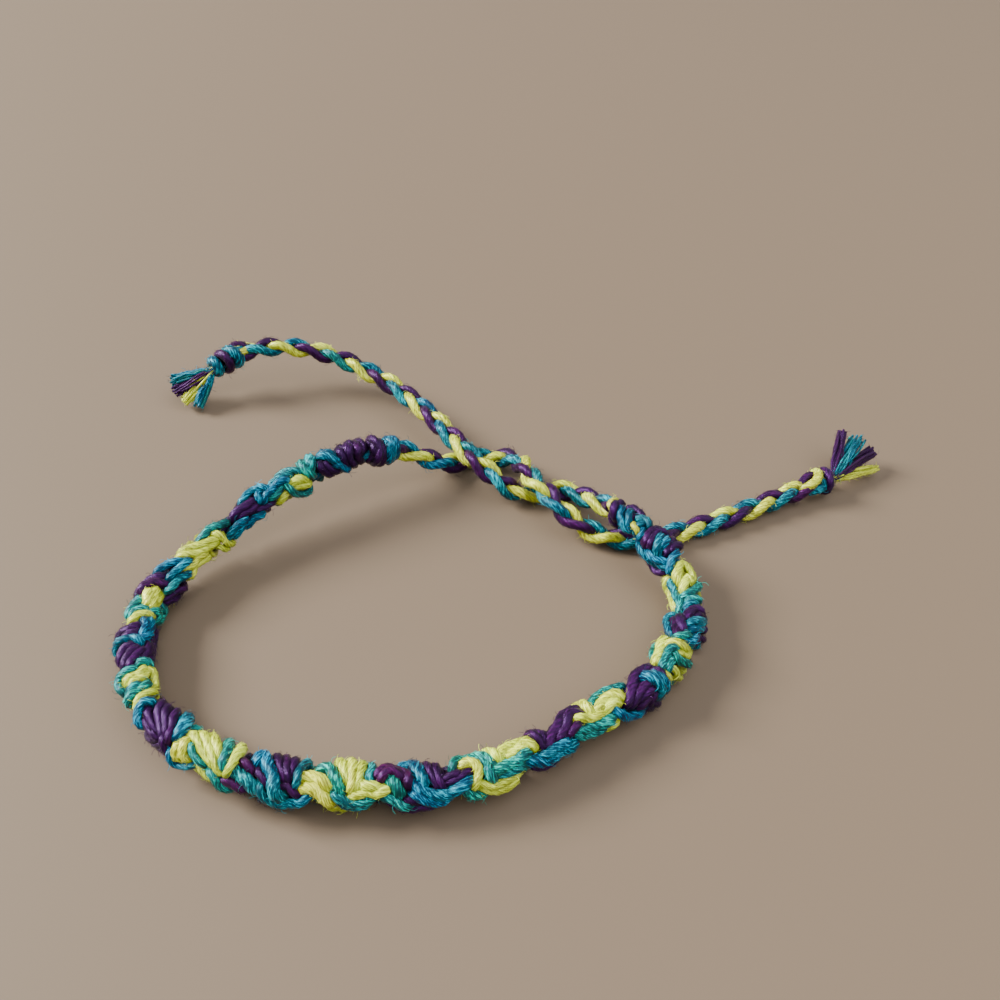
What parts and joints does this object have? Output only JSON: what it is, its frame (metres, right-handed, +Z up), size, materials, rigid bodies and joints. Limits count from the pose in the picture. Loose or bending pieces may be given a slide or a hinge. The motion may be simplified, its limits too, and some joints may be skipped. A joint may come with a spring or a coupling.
{
  "type": "knotted floss friendship bracelet",
  "caption": "Open friendship bracelet of knotted floss, with wrapped knots on core strands and two braided ties that end in stopper knots and tassels.",
  "frame": {"origin": "on the table surface, under the middle of the knotted band's box", "axes": "+Z up, +X along the band's longest extent, towards the tie that ends on the right; the opening where the ties cross is at +Y"},
  "size_m": [0.1019, 0.0716, 0.0083],
  "materials": {
    "purple_floss": "satin cotton floss",
    "teal_floss": "satin cotton floss",
    "yellow_floss": "satin cotton floss"
  },
  "bodies": {
    "root": {"core_strands": "teal_floss", "start_knot": "teal_floss", "finish_knot": "purple_floss", "purple_knot_01": "purple_floss", "yellow_knot_01": "yellow_floss", "purple_knot_02": "purple_floss", "yellow_knot_02": "yellow_floss", "purple_knot_03": "purple_floss", "yellow_knot_03": "yellow_floss", "purple_knot_04": "purple_floss", "yellow_knot_04": "yellow_floss", "purple_knot_05": "purple_floss", "yellow_knot_05": "yellow_floss", "purple_knot_06": "purple_floss", "yellow_knot_06": "yellow_floss", "purple_knot_07": "purple_floss", "yellow_knot_07": "yellow_floss", "purple_knot_08": "purple_floss", "yellow_knot_08": "yellow_floss", "purple_knot_09": "purple_floss", "yellow_knot_09": "yellow_floss", "purple_knot_10": "purple_floss", "yellow_knot_10": "yellow_floss", "purple_knot_11": "purple_floss", "right_tie": "teal_floss", "right_stopper_knot": "purple_floss", "right_tassel": "purple_floss", "left_tie": "teal_floss", "left_stopper_knot": "teal_floss", "left_tassel": "purple_floss"}
  },
  "joints": []
}
